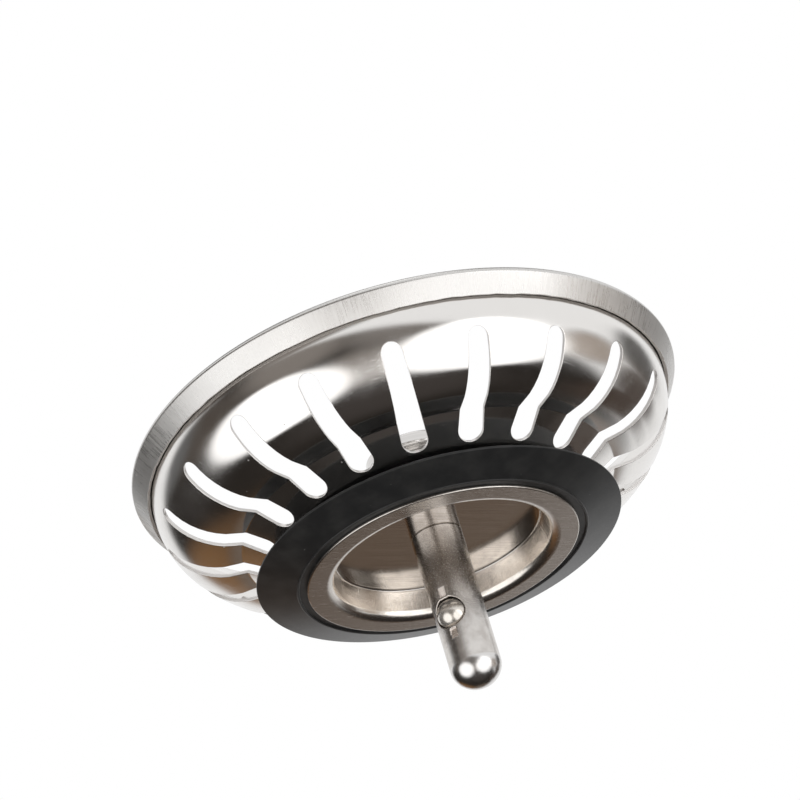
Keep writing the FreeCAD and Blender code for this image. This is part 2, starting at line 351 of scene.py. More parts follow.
def effect(name, inputs, outputs):
    """Empty node group with named values in and out: (group, its inputs, its outputs)."""
    group = bpy.data.node_groups.new(name, "ShaderNodeTree")
    for label, value in inputs.items():
        socket = group.interface.new_socket(label, in_out="INPUT", socket_type="NodeSocketFloat")
        socket.default_value = value
    for label in outputs:
        group.interface.new_socket(label, in_out="OUTPUT", socket_type="NodeSocketFloat")
    return group, group.nodes.new("NodeGroupInput").outputs, group.nodes.new("NodeGroupOutput").inputs


def use(tree, group, **values):
    """Outputs of a node group placed in a material with its own values."""
    made = tree.nodes.new("ShaderNodeGroup")
    made.node_tree = group
    for label, value in values.items():
        made.inputs[label.replace("_", " ")].default_value = value
    return made.outputs


def new_finish(name):
    """Material with a Principled shader: (material, its node tree, the shader)."""
    material = bpy.data.materials.new(name)
    material.use_nodes = True
    return material, material.node_tree, material.node_tree.nodes["Principled BSDF"]


def coat(shader, colour, rough, height, depth_mm, strength, metal=1.0):
    """Gives the shader its colour, its roughness and a bump of a real depth, and says if it is metal."""
    link(colour, shader.inputs["Base Color"])
    link(rough, shader.inputs["Roughness"])
    shader.inputs["Metallic"].default_value = metal
    bump = {"Height": height, "Distance": depth_mm / MM, "Strength": strength}
    link(add("ShaderNodeBump", bump).outputs[0], shader.inputs["Normal"])


blasted_grain, grain_in, grain_out = effect("blasted grain", {"Grain Size": 0.12}, ["Grain", "Patches"])
grain_place = place_mm(blasted_grain)
grain_scale = maths("DIVIDE", 1.0, grain_in["Grain Size"])
link(noise(grain_place, grain_scale, detail=3.0, roughness=0.6), grain_out["Grain"])
link(noise(grain_place, PATCH_SCALE, detail=4.0, roughness=0.6), grain_out["Patches"])

handling, handling_in, handling_out = effect(
    "handling marks", {"Dust": 0.5}, ["Dust", "Scratches", "Smudges"]
)
handled = place_mm(handling)
dust = specks(handled, DUST_SCALE, 0, DUST_SIZE)
link(times(dust, handling_in["Dust"]), handling_out["Dust"])
scratch_total = None
for turn, thin, long in SCRATCHES:
    turning = {"Vector": handled, "Angle": turn, "Axis": SCRATCH_AXIS}
    turned_place = add("ShaderNodeVectorRotate", turning).outputs[0]
    stretched = vector("MULTIPLY", turned_place, (thin, long, thin))
    line = spread(noise(stretched, 1.0, detail=1.0), *SCRATCH_SPAN)
    scratch_total = line if scratch_total is None else maths("MAXIMUM", scratch_total, line)
link(scratch_total, handling_out["Scratches"])
link(noise(handled, SMUDGE_SCALE, detail=3.0, roughness=0.6), handling_out["Smudges"])

pin_finish, tree, shader = new_finish("blasted and polished pin steel")
pin_level = apart(place_mm(tree))[2]
on_shank = spread(pin_level, PIN_SEAM - SEAM_BLUR, PIN_SEAM + SEAM_BLUR)
blasted = spread(pin_level, SMOOTH_BELOW, BLASTED_ABOVE)
# Weight of the punch marks, with a painted highlight on the hole's edge and lip.
struck_and_shine_share = weight(tree, "struck_and_shine")
grain = use(tree, blasted_grain, Grain_Size=PIN_GRAIN)
shank_tone = tint(spread(grain["Patches"], *PATCH_SPAN), SHANK_DARK, SHANK_LIGHT)
# Painted highlight: the peaks of the grain are tinted towards the lighter steel as glints.
glint = spread(grain["Grain"], *GLINT_SPAN, 0.0, GLINT_SHARE)
pin_tone = tint(on_shank, DOME_STEEL, tint(glint, shank_tone, STRUCK_AND_SHINE_STEEL))
smooth_rough = spread(grain["Grain"], *GRAIN_SPAN, *SMOOTH_ROUGH)
blasted_rough = times(spread(grain["Grain"], *GRAIN_SPAN, *BLASTED_ROUGH), blasted)
struck_rough = times(struck_and_shine_share, STRUCK_ROUGH)
dome_rough = times(rest_of(on_shank), DOME_ROUGH)
pin_rough = plus(smooth_rough, blasted_rough, struck_rough, dome_rough)
pin_tone = tint(struck_and_shine_share, pin_tone, STRUCK_AND_SHINE_STEEL)
grain_height = times(grain["Grain"], spread(blasted, 0.0, 1.0, *GRAIN_HEIGHT))
coat(shader, pin_tone, pin_rough, grain_height, *PIN_RELIEF)
pin_points, pin_normals, pin_faces, pin_weights = pin_mesh()
pin = solid("turned_pin", pin_points, pin_normals, pin_faces, pin_finish, pin_weights)
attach(pin, "strainer")
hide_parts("pin")

# Detent spring: a short coil of drawn spring wire in the blind end of the pin's cross hole.
# It pushes the ball out against the staked edge, and is pressed shorter when the ball goes in.
WIRE_RADIUS, WIRE_SIDES = 0.2, 12
COIL_RADIUS, COIL_TURNS, COIL_STEPS = 1.3, 4, 36
COIL_BACK, COIL_FRONT = 2.175, -0.25
WIRE_DARK, WIRE_LIGHT = (0.36, 0.35, 0.34, 1), (0.5, 0.49, 0.47, 1)
WIRE_GRAIN, WIRE_SPAN, WIRE_ROUGH, WIRE_RELIEF = 0.08, (0.3, 0.7), (0.22, 0.38), (0.01, 0.4)


def coil_mesh():
    """Points, normals and faces of the coil, with flat wire ends."""
    points, normals = [], []
    rise = (COIL_FRONT - COIL_BACK) / (2 * math.pi * COIL_TURNS)
    count = COIL_STEPS * COIL_TURNS + 1
    for i in range(count):
        turn = 2 * math.pi * i / COIL_STEPS
        out = np.array([math.cos(turn), 0.0, math.sin(turn)])
        centre = out * COIL_RADIUS + np.array([0.0, COIL_BACK + rise * turn, BALL_LEVEL])
        along = np.array([-math.sin(turn) * COIL_RADIUS, rise, math.cos(turn) * COIL_RADIUS])
        side = np.cross(unit(along), out)
        for j in range(WIRE_SIDES):
            angle = 2 * math.pi * j / WIRE_SIDES
            normal = out * math.cos(angle) + side * math.sin(angle)
            points.append(centre + normal * WIRE_RADIUS)
            normals.append(normal)
    faces = grid_faces(count, WIRE_SIDES)
    for end, before in ((0, 1), (count - 1, count - 2)):
        rings = [points[i * WIRE_SIDES:(i + 1) * WIRE_SIDES] for i in (end, before)]
        middle, inner_middle = (np.mean(ring, axis=0) for ring in rings)
        sides = [end * WIRE_SIDES + j for j in range(WIRE_SIDES)]
        faces += [(here, beside, len(points)) for here, beside in zip(sides, sides[1:] + sides[:1])]
        points.append(middle)
        normals.append(middle - inner_middle)
    return points, normals, faces


spring_finish, tree, shader = new_finish("drawn spring wire")
grain = use(tree, blasted_grain, Grain_Size=WIRE_GRAIN)
wire_rough = spread(grain["Grain"], *WIRE_SPAN, *WIRE_ROUGH)
wire_tone = tint(grain["Patches"], WIRE_DARK, WIRE_LIGHT)
coat(shader, wire_tone, wire_rough, grain["Grain"], *WIRE_RELIEF)
spring = solid("detent_coil", *coil_mesh(), spring_finish)
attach(spring, "strainer")
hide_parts("detent_spring")
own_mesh(spring)

# Detent ball: a ground and polished bearing ball, held in the cross hole by its staked edge.
# It is free to go in against the spring.
BALL_DARK, BALL_LIGHT = (0.6, 0.56, 0.51, 1), (0.74, 0.7, 0.65, 1)
BALL_GRAIN, BALL_ROUGH, BALL_SCRATCH_ROUGH = 0.1, (0.2, 0.27), 0.08
BALL_METAL, BALL_RELIEF = 0.85, (0.004, 0.4)


def refinish(node, finish):
    """Puts a better material on a piece that keeps its CAD shape."""
    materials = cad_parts[node].data.materials
    materials.clear()
    materials.append(finish)


ball_finish, tree, shader = new_finish("polished bearing steel")
scratches = use(tree, handling)["Scratches"]
grain = use(tree, blasted_grain, Grain_Size=BALL_GRAIN)
ground_rough = spread(grain["Grain"], *GRAIN_SPAN, *BALL_ROUGH)
ball_rough = plus(ground_rough, times(scratches, BALL_SCRATCH_ROUGH))
ball_tone = tint(grain["Patches"], BALL_DARK, BALL_LIGHT)
coat(shader, ball_tone, ball_rough, grain["Grain"], *BALL_RELIEF, BALL_METAL)
refinish("detent_ball", ball_finish)

# Seal carrier: a cup pressed from satin steel sheet, with a flat flange round its mouth.
# The pin's shoulder clamps its floor up against the bowl, and the flange holds the seal.
CARRIER_SHEET, CARRIER_EDGE = 0.5, 0.22
CARRIER_PATH = [(2.65, 0.0, 0), (14.84, 0.0, 0.35), (15.49, -4.25, 1.45), (19.34, -4.25, 0)]
WALL_TOP, WALL_FOOT, RECESS_START = (-0.1, -0.5), (-4.2, -3.6), (-0.12, -0.03)
ROUND_STEPS, DENSE_TURN = 180, 1.5
TOUCHING, STRAIGHT = 1e-6, 1 - 1e-9
CARRIER_DARK, CARRIER_LIGHT = (0.44, 0.41, 0.38, 1), (0.57, 0.535, 0.5, 1)
RECESS_DARK, RECESS_LIGHT = (0.53, 0.49, 0.45, 1), (0.62, 0.58, 0.54, 1)
# The wall's pale tone is painted reflection, laid on in clouds along its waves.
WALL_REFLECTION_TONE, CARRIER_DUST = (0.87, 0.82, 0.76, 1), (0.75, 0.72, 0.68, 1)
LINE_SPAN, WALL_REFLECTION_SPAN, WALL_REFLECTION_SHARE = (0.36, 0.64), (0.3, 0.6), (0.4, 1.0)
CARRIER_ROUGH, RECESS_ROUGH = (0.22, 0.28), (0.08, 0.15)
LINE_HEIGHT, WAVE_HEIGHT, STREAK_HEIGHT = 0.4, 12.0, 0.22
CARRIER_RELIEF = (0.012, 0.5)
DEEP_SCALE, DEEP_SPAN = 2.3, (0.58, 0.72)
WAVE_TURN, WAVE_RISE = 2.8, 0.3
BRUSH_TURN, BRUSH_STRETCH = 0.55, (1.0, 0.03, 0.4)


def bent_profile(corners, closed=False, turn_step=DENSE_TURN):
    """Points and left-hand normals along runs joined by tangent arcs, from (radius, level, bend) corners."""
    spots = [np.array(corner[:2], float) for corner in corners]
    count = len(spots)
    points, normals = [], []
    for i in range(count):
        ends = not closed and i in (0, count - 1)
        into = unit(spots[i] - spots[i - 1]) if i or closed else unit(spots[1] - spots[0])
        away = into if ends else unit(spots[(i + 1) % count] - spots[i])
        turn = math.atan2(into[0] * away[1] - into[1] * away[0], float(into @ away))
        bend = corners[i][2]
        reach = bend * math.tan(abs(turn) / 2)
        steps = max(1, math.ceil(math.degrees(abs(turn)) / turn_step)) if bend else 0
        left = np.array([-into[1], into[0]])
        centre = spots[i] - into * reach + math.copysign(bend, turn) * left
        for k in range(steps + 1):
            angle = turn * k / steps if steps else 0.0
            normal = left * math.cos(angle) - into * math.sin(angle)
            point = centre - math.copysign(bend, turn) * normal
            if not points or np.linalg.norm(point - points[-1]) > TOUCHING:
                points.append(point)
                normals.append(normal)
    return np.array(points), np.array(normals)


def thinned(points, normals, turn=7.0, run=3.0):
    """Indices of the rows to keep: one for each few degrees of bend or few millimetres of run."""
    kept = [0]
    for i in range(1, len(points)):
        bent = math.degrees(math.acos(np.clip(normals[i] @ normals[kept[-1]], -1, 1)))
        ahead = i + 1 < len(points) and np.linalg.norm(points[i + 1] - points[kept[-1]]) > run
        starts = i + 1 < len(points) and bent < TOUCHING and normals[i + 1] @ normals[i] < STRAIGHT
        if bent >= turn or ahead or starts or i == len(points) - 1:
            kept.append(i)
    return kept


def curve(first, corner, last, share):
    """Point on the curve from first to last that bends towards a corner."""
    return (1 - share) ** 2 * first + 2 * share * (1 - share) * corner + share * share * last


def rounded_end(first, second, outward, bend, steps=3):
    """Rows (point, normal) round a sheet's cut edge, from the end of one face to the end of the other."""
    across = unit(second[0] - first[0])
    rows = []
    for (corner, face), step in ((first, 1), (second, -1)):
        on_face, on_edge = corner - outward * bend, corner + across * step * bend
        for share in [k / steps for k in range(steps + 1)][::step]:
            rows.append((curve(on_face, corner, on_edge, share), unit((1 - share) * face + share * outward)))
    return rows


def sheet_loop(path, sheet, side, edge):
    """Closed loop of points and normals round a pressed sheet, whose metal lies on that side of the path."""
    points, normals = bent_profile(path)
    kept = thinned(points, normals)
    face = [(points[i], -side * normals[i]) for i in kept]
    back = [(points[i] + side * sheet * normals[i], side * normals[i]) for i in kept]
    tail = rounded_end(face[-1], back[-1], unit(points[-1] - points[-2]), edge)
    head = rounded_end(back[0], face[0], unit(points[0] - points[1]), edge)
    return tuple(zip(*face[1:-1], *tail, *back[-2:0:-1], *head))


def spun(out, angle, up):
    """Place or direction turned round the part's axis."""
    return np.array([out * math.cos(angle), out * math.sin(angle), up])


def turned(name, loop, loop_normals, finish, closed=True, steps=ROUND_STEPS):
    """Object turned about the part's axis from (radius, level) points."""
    points, normals = [], []
    for (radius, level), (out, up) in zip(loop, loop_normals):
        for j in range(steps):
            angle = 2 * math.pi * j / steps
            points.append(spun(radius, angle, level))
            normals.append(spun(out, angle, up))
    return solid(name, points, normals, grid_faces(len(loop), steps, closed_rows=closed), finish)


def joined(x=0.0, y=0.0, z=0.0):
    """Socket with a place put together from its three parts."""
    return add("ShaderNodeCombineXYZ", {0: x, 1: y, 2: z}).outputs[0]


def round_and_up(around, turn_scale, level, rise_scale):
    """Socket with a place that follows the turn round the axis at one scale and the level at another."""
    turn = add("ShaderNodeVectorMath", {0: around, "Scale": turn_scale}, operation="SCALE").outputs[0]
    return vector("ADD", turn, joined(z=times(level, rise_scale)))


def blend(share, first, second):
    """Socket with the value between first and second."""
    return plus(times(first, rest_of(share)), times(second, share))


draw_marks, draw_in, draw_out = effect(
    "draw marks", {"Marks": 60.0, "Slip": 0.05}, ["Lines", "Deep Lines", "Waves"]
)
draw_x, draw_y, draw_level = apart(place_mm(draw_marks))
draw_round = vector("NORMALIZE", joined(draw_x, draw_y))
draw_grid = round_and_up(draw_round, draw_in["Marks"], draw_level, draw_in["Slip"])
link(noise(draw_grid, 1.0, detail=5.0, roughness=0.75), draw_out["Lines"])
deep_noise = noise(draw_grid, DEEP_SCALE, detail=2.0, roughness=0.6)
link(spread(deep_noise, *DEEP_SPAN), draw_out["Deep Lines"])
wave_grid = round_and_up(draw_round, WAVE_TURN, draw_level, WAVE_RISE)
link(noise(wave_grid, 1.0, detail=3.0, roughness=0.6), draw_out["Waves"])

sheet_brushing, brush_in, brush_out = effect("sheet brushing", {"Fineness": 9.0}, ["Lines"])
brush_turning = {"Vector": place_mm(sheet_brushing), "Angle": BRUSH_TURN, "Axis": (0, 0, 1)}
brush_turned = add("ShaderNodeVectorRotate", brush_turning).outputs[0]
brush_long = vector("MULTIPLY", brush_turned, BRUSH_STRETCH)
link(noise(brush_long, brush_in["Fineness"], detail=4.0, roughness=0.7), brush_out["Lines"])

carrier_finish, tree, shader = new_finish("satin carrier sheet")
carrier_level = apart(place_mm(tree))[2]
on_wall = times(spread(carrier_level, *WALL_TOP), spread(carrier_level, *WALL_FOOT))
on_floor = spread(carrier_level, *RECESS_START)
brushed = use(tree, sheet_brushing, Fineness=15.0)["Lines"]
streaks = use(tree, sheet_brushing, Fineness=3.2)["Lines"]
drawn = use(tree, draw_marks, Marks=60.0, Slip=0.06)
carrier_dust = use(tree, handling, Dust=0.5)["Dust"]
carrier_lines = blend(on_wall, brushed, drawn["Lines"])
line_tone = tint(spread(carrier_lines, *LINE_SPAN), CARRIER_DARK, CARRIER_LIGHT)
recess_tone = tint(spread(streaks, *LINE_SPAN), RECESS_DARK, RECESS_LIGHT)
# Painted reflection: the wall is tinted 40 to 100 per cent towards a pale tone, in clouds that follow its
# drawn waves, as its bright wavy reflections.
painted_wall_reflections = times(spread(drawn["Waves"], *WALL_REFLECTION_SPAN, *WALL_REFLECTION_SHARE), on_wall)
carrier_tone = tint(painted_wall_reflections, tint(on_floor, line_tone, recess_tone), WALL_REFLECTION_TONE)
line_rough = spread(carrier_lines, *GRAIN_SPAN, *CARRIER_ROUGH)
recess_rough = spread(carrier_lines, *GRAIN_SPAN, *RECESS_ROUGH)
carrier_rough = blend(on_floor, line_rough, recess_rough)
carrier_tone = tint(carrier_dust, carrier_tone, CARRIER_DUST)
wall_waves = times(times(drawn["Waves"], on_wall), WAVE_HEIGHT)
floor_streaks = times(times(streaks, on_floor), STREAK_HEIGHT)
carrier_height = plus(times(carrier_lines, LINE_HEIGHT), wall_waves, floor_streaks)
coat(shader, carrier_tone, carrier_rough, carrier_height, *CARRIER_RELIEF)
carrier = turned("seal_cup", *sheet_loop(CARRIER_PATH, CARRIER_SHEET, 1, CARRIER_EDGE), carrier_finish)
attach(carrier, "strainer")
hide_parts("seal_carrier")

# Rubber seal: a moulded black ring between the carrier's flange and the bowl's floor.
# Its thin conical lip closes the seat of the waste, and a small bead stands round the flange.
SEAL_OUTLINE = [
    (16.63, 0.8, 0.1), (20.99, 0.8, 0.12), (25.94, -2.08, 0.08), (25.94, -2.35, 0.1), (20.72, -3.86, 0.1),
    (20.64, -3.98, 0.06), (20.42, -3.98, 0.06), (20.34, -3.75, 0.06), (16.63, -3.75, 0.1),
]
SEAL_TURN = 15.0
SEAL_DARK, SEAL_BLOOM = (0.0115, 0.0117, 0.012, 1), (0.027, 0.0265, 0.0255, 1)
SEAL_SPECK = (0.12, 0.12, 0.115, 1)
SEAL_ROUGH, SEAL_SHINE, SEAL_RELIEF = (0.28, 0.38), 0.28, (0.005, 0.25)
RUBBER_SCALE, BLOOM_SCALE, BLOOM_SPAN = 7.0, 0.3, (0.35, 0.75)
SPECK_SCALE, SPECK_SIZE = 0.7, 0.08

rubber_skin, rubber_in, rubber_out = effect(
    "moulded rubber skin", {"Bloom": 0.5}, ["Grain", "Bloom", "Specks"]
)
rubber_place = place_mm(rubber_skin)
link(noise(rubber_place, RUBBER_SCALE, detail=4.0, roughness=0.65), rubber_out["Grain"])
bloom_noise = noise(rubber_place, BLOOM_SCALE, detail=6.0, roughness=0.65)
bloom_cloud = times(spread(bloom_noise, *BLOOM_SPAN), rubber_in["Bloom"])
link(bloom_cloud, rubber_out["Bloom"])
rubber_specks = specks(rubber_place, SPECK_SCALE, 1, SPECK_SIZE)
link(rubber_specks, rubber_out["Specks"])

seal_finish, tree, shader = new_finish("moulded seal rubber")
skin = use(tree, rubber_skin, Bloom=0.6)
seal_tone = tint(skin["Specks"], tint(skin["Bloom"], SEAL_DARK, SEAL_BLOOM), SEAL_SPECK)
seal_rough = spread(skin["Grain"], *GRAIN_SPAN, *SEAL_ROUGH)
coat(shader, seal_tone, seal_rough, skin["Grain"], *SEAL_RELIEF, metal=0.0)
shader.inputs["Specular IOR Level"].default_value = SEAL_SHINE
seal = turned("lip_seal", *bent_profile(SEAL_OUTLINE, closed=True, turn_step=SEAL_TURN), seal_finish)
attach(seal, "strainer")
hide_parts("rubber_seal")

# Floor gasket: a thin flat rubber washer, cut from sheet.
# It closes the hole for the pin between the floors of the carrier and the bowl.
GASKET_DARK, GASKET_BLOOM = (0.02, 0.02, 0.02, 1), (0.035, 0.035, 0.034, 1)
GASKET_ROUGH, GASKET_RELIEF = (0.6, 0.8), (0.03, 0.4)

gasket_finish, tree, shader = new_finish("cut gasket sheet")
skin = use(tree, rubber_skin, Bloom=1.0)
gasket_tone = tint(skin["Bloom"], GASKET_DARK, GASKET_BLOOM)
gasket_rough = spread(skin["Grain"], *GRAIN_SPAN, *GASKET_ROUGH)
coat(shader, gasket_tone, gasket_rough, skin["Grain"], *GASKET_RELIEF, metal=0.0)
refinish("floor_gasket", gasket_finish)

# Basket bowl: one dish pressed from polished stainless sheet, with twenty punched drain slots.
# Its rim flares out and the raw edge is folded back under as a satin lip.
# The slots are punched square to the line from their foot to their head, so their edges wave with the wall.
BOWL_SHEET = 0.5
FOLD_BEND, FOLD_RADIUS, FOLD_LEVEL = 0.6, 39.05, 15.8
FLARE_LEAN = math.radians(35.7)
FLARE_OUT, FLARE_UP = math.sin(FLARE_LEAN), math.cos(FLARE_LEAN)
FLARE_LENGTH, LIP_LENGTH = 2.95, 2.85
SLOT_COUNT = 20
SLOT_FOOT, SLOT_HEAD = 1.725, 1.35
SLOT_FOOT_PLACE, SLOT_HEAD_PLACE = np.array([22.64, 0.959]), np.array([36.573, 9.43])
SLOT_INNERMOST, SLOT_HIGHEST, RUN_COLUMN = 20.0, 13.0, 4
CUT_EDGE, RAW_EDGE = 0.1, 0.12
ROW_GAP, EDGE_GAP = 0.06, 0.05
HEM_FADE, RAGGED_REACH = 1.0, 0.8
RIB_STEPS, END_STEPS, BEVEL_STEPS = 5, 9, 3
LIP_WAVES = ((17, 0.6, 0.025), (41, 2.1, 0.02), (73, 4.4, 0.02), (131, 1.3, 0.018))
# A band of the lip on the -X side has deep light and dark lines, which are wear, and a darker tone, which is
# painted shade.
WORN_AND_SHADED_SIDE, WORN_AND_SHADED_BREAK, WORN_AND_SHADED_SPAN, WORN_AND_SHADED_SCALE = (-0.996, -0.087, 0.0), 3.0, (36.0, 38.5), 0.35
POLISH_DARK, POLISH_LIGHT = (0.745, 0.725, 0.705, 1), (0.8, 0.785, 0.765, 1)
HEM_DARK, HEM_LIGHT = (0.61, 0.6, 0.585, 1), (0.67, 0.66, 0.645, 1)
WORN_AND_SHADED_DARK, WORN_AND_SHADED_LIGHT = (0.24, 0.22, 0.2, 1), (0.82, 0.78, 0.74, 1)
CUT_STEEL, RAW_STEEL, BOWL_DUST = (0.72, 0.7, 0.685, 1), (0.62, 0.59, 0.56, 1), (0.85, 0.83, 0.8, 1)
HEM_SPAN, WORN_AND_SHADED_LINE_SPAN, SMUDGE_SPAN = (0.3, 0.7), (0.42, 0.62), (0.3, 0.75)
POLISH_ROUGH, HEM_ROUGH = (0.12, 0.17), (0.1, 0.2)
SCRATCH_ROUGH, DUST_ROUGH, CUT_ROUGH, RAW_ROUGH = 0.06, 0.4, 0.22, 0.3
HEM_LINE_DEPTH, FINE_LINE_DEPTH, BRUSH_SHARE = (0.12, 0.9), -0.04, 0.3
BOWL_RELIEF, POLISH_DIRECTION, CUT_TURN = (0.02, 0.5), 0.85, 4.0


def on_flare(side, along, bend):
    """Corner on the flared rim: side -1 is its inner face, +1 the lip folded under it."""
    radius = FOLD_RADIUS + side * FOLD_BEND * FLARE_UP + along * FLARE_OUT
    level = FOLD_LEVEL - side * FOLD_BEND * FLARE_OUT + along * FLARE_UP
    return radius, level, bend


BOWL_PATH = [
    (2.65, 1.3, 0), (22.24, 1.3, 1.2), (26.54, 3.95, 1.0), (36.84, 3.95, 9.3),
    on_flare(-1, -FLARE_LENGTH, 1.2), on_flare(-1, FOLD_BEND, FOLD_BEND),
    on_flare(1, FOLD_BEND, FOLD_BEND), on_flare(1, -LIP_LENGTH, 0),
]
bowl_points, bowl_normals = bent_profile(BOWL_PATH)
bowl_kept = thinned(bowl_points, bowl_normals)
bowl_run = np.concatenate([[0], np.cumsum(np.linalg.norm(np.diff(bowl_points, axis=0), axis=1))])
slot_chord = unit(SLOT_HEAD_PLACE - SLOT_FOOT_PLACE)
slot_length = float(np.linalg.norm(SLOT_HEAD_PLACE - SLOT_FOOT_PLACE))
bowl_faces = {
    "inner": (bowl_points, bowl_normals),
    "outer": (bowl_points - BOWL_SHEET * bowl_normals, -bowl_normals),
}
slot_span = (bowl_points[:, 0] > SLOT_INNERMOST) & (bowl_points[:, 1] < SLOT_HIGHEST)
slot_reach = np.flatnonzero(slot_span & (np.arange(len(bowl_points)) < np.argmax(bowl_points[:, 1])))


def along_chord(face, half_width):
    """How far along the slot's line each point of a face lies, at that distance to the side of it."""
    points = bowl_faces[face][0][slot_reach]
    out = np.sqrt(points[:, 0] ** 2 - half_width ** 2) - SLOT_FOOT_PLACE[0]
    return out * slot_chord[0] + (points[:, 1] - SLOT_FOOT_PLACE[1]) * slot_chord[1]


def on_face(face, place):
    """Row (radius, level, normal out, normal up, run) where a point of the slot's outline meets a face."""
    run = np.interp(place[0], along_chord(face, place[1]), bowl_run[slot_reach])
    points, normals = bowl_faces[face]
    return [np.interp(run, bowl_run, column) for column in (*points.T, *normals.T)] + [run]


def slot_outline():
    """Half of the slot's flat outline, foot to head: (place, outward normal) pairs."""
    taper = math.asin((SLOT_FOOT - SLOT_HEAD) / (slot_length - SLOT_FOOT - SLOT_HEAD))
    flank = np.array([math.sin(taper), math.cos(taper)])
    foot, head = np.array([SLOT_FOOT, 0.0]), np.array([slot_length - SLOT_HEAD, 0.0])
    outline = []

    def round_end(centre, radius, first, last):
        for k in range(END_STEPS + 1):
            angle = first + (last - first) * k / END_STEPS
            normal = np.array([math.cos(angle), math.sin(angle)])
            outline.append((centre + radius * normal, normal))

    round_end(foot, SLOT_FOOT, math.pi, math.pi / 2 - taper)
    start, end = foot + SLOT_FOOT * flank, head + SLOT_HEAD * flank
    rows = []
    for face in bowl_faces:
        along = along_chord(face, start[1])
        rows += [np.interp(bowl_run[i], bowl_run[slot_reach], along) for i in bowl_kept]
    last = start[0]
    for row in sorted(rows):
        if last + ROW_GAP < row < end[0] - ROW_GAP:
            outline.append((start + (end - start) * (row - start[0]) / (end[0] - start[0]), flank))
            last = row
    round_end(head, SLOT_HEAD, math.pi / 2 - taper, 0.0)
    return outline


def bowl_rows(face, outline):
    """Rows (radius, level, normal out, normal up, run, side of slot) of a face, from the hole to the lip."""
    points, normals = bowl_faces[face]
    below, edges, above = [], [], []
    for place, normal in outline:
        spot = place + CUT_EDGE * normal
        edges.append(on_face(face, spot) + [max(0.0, spot[1])])
    for i in bowl_kept:
        row = [*points[i], *normals[i], bowl_run[i], 0.0]
        if bowl_run[i] < edges[0][RUN_COLUMN] - EDGE_GAP:
            below.append(row)
        if bowl_run[i] > edges[-1][RUN_COLUMN] + EDGE_GAP:
            above.append(row)
    return below, edges, above


def strip(here, there):
    """Quads between two rows of point numbers."""
    return [(here[j], here[j + 1], there[j + 1], there[j]) for j in range(len(here) - 1)]


def half_rib(outline):
    """Points, normals, weights and faces of the sheet from the middle of a slot to the middle of a rib."""
    points, normals, weights, faces = [], [], [], []
    half_pitch = math.pi / SLOT_COUNT
    fold_run = bowl_run[np.argmax(bowl_points[:, 1])]

    def put(point, normal, hem=0.0, cut=0.0, ragged=0.0, raw=0.0):
        points.append(point)
        normals.append(normal)
        weights.append((hem, cut, ragged, raw))
        return len(points) - 1

    def put_row(row):
        radius, level, out, up, run, side, *raw = row
        start = math.asin(side / radius)
        hem = float(np.clip((run - fold_run + HEM_FADE / 2) / HEM_FADE, 0, 1))
        ragged = float(np.clip((run - bowl_run[-1] + RAGGED_REACH) / RAGGED_REACH, 0, 1))
        numbers = []
        for j in range(RIB_STEPS + 1):
            angle = start + (half_pitch - start) * j / RIB_STEPS
            place, normal = spun(radius, angle, level), spun(out, angle, up)
            numbers.append(put(place, normal, hem, ragged=ragged, raw=1.0 if raw else 0.0))
        return numbers

    inner = bowl_rows("inner", outline)
    outer = bowl_rows("outer", outline)
    inner_rows = [row for part in inner for row in part]
    outer_rows = [row for part in outer for row in part]
    faced = (inner_rows, outer_rows)
    tip, root = ([(np.array(rows[i][:2]), np.array(rows[i][2:4])) for rows in faced] for i in (-1, 0))
    lip_rows = rounded_end(*tip, unit(bowl_points[-1] - bowl_points[-2]), RAW_EDGE)
    hole_rows = rounded_end(*root[::-1], np.array([-1.0, 0.0]), RAW_EDGE)
    ends = [[*point, *normal, bowl_run[-1], 0.0] for point, normal in lip_rows]
    loop = inner_rows[1:-1] + [ends[0]] + [row + ["raw"] for row in ends[1:-1]] + [ends[-1]]
    loop += outer_rows[-2:0:-1] + [[*point, *normal, 0.0, 0.0] for point, normal in hole_rows]
    numbers = [put_row(row) for row in loop]
    for here, there in zip(numbers, numbers[1:] + numbers[:1]):
        faces += strip(here, there)
    first_inner = len(inner[0]) - 1
    first_outer = len(loop) - len(hole_rows) - (len(outer[0]) - 1) - len(outline)
    chains = []
    for k, (place, normal) in enumerate(outline):
        corner = {}
        for face in bowl_faces:
            radius, level = on_face(face, place)[:2]
            angle = math.asin(max(0.0, place[1]) / radius)
            corner[face] = spun(radius, angle, level)
        wall = -np.array([normal[0] * slot_chord[0], normal[1], normal[0] * slot_chord[1]])
        through = unit(corner["inner"] - corner["outer"])
        chain = []
        outer_edge = numbers[first_outer + len(outline) - 1 - k][0]
        inner_edge = numbers[first_inner + k][0]
        for edge, face, step in ((outer_edge, "outer", 1), (inner_edge, "inner", -1)):
            in_slot = corner[face] + step * CUT_EDGE * through
            start, start_normal = points[edge], normals[edge]
            arc = [edge]
            for b in range(1, BEVEL_STEPS + 1):
                share = b / BEVEL_STEPS
                bevel_normal = unit((1 - share) * start_normal + share * wall)
                arc.append(put(curve(start, corner[face], in_slot, share), bevel_normal, cut=share))
            chain += arc if step > 0 else arc[::-1]
        chains.append(chain)
    for here, there in zip(chains, chains[1:]):
        faces += strip(here, there)
    return np.array(points), np.array(normals), np.array(weights), faces


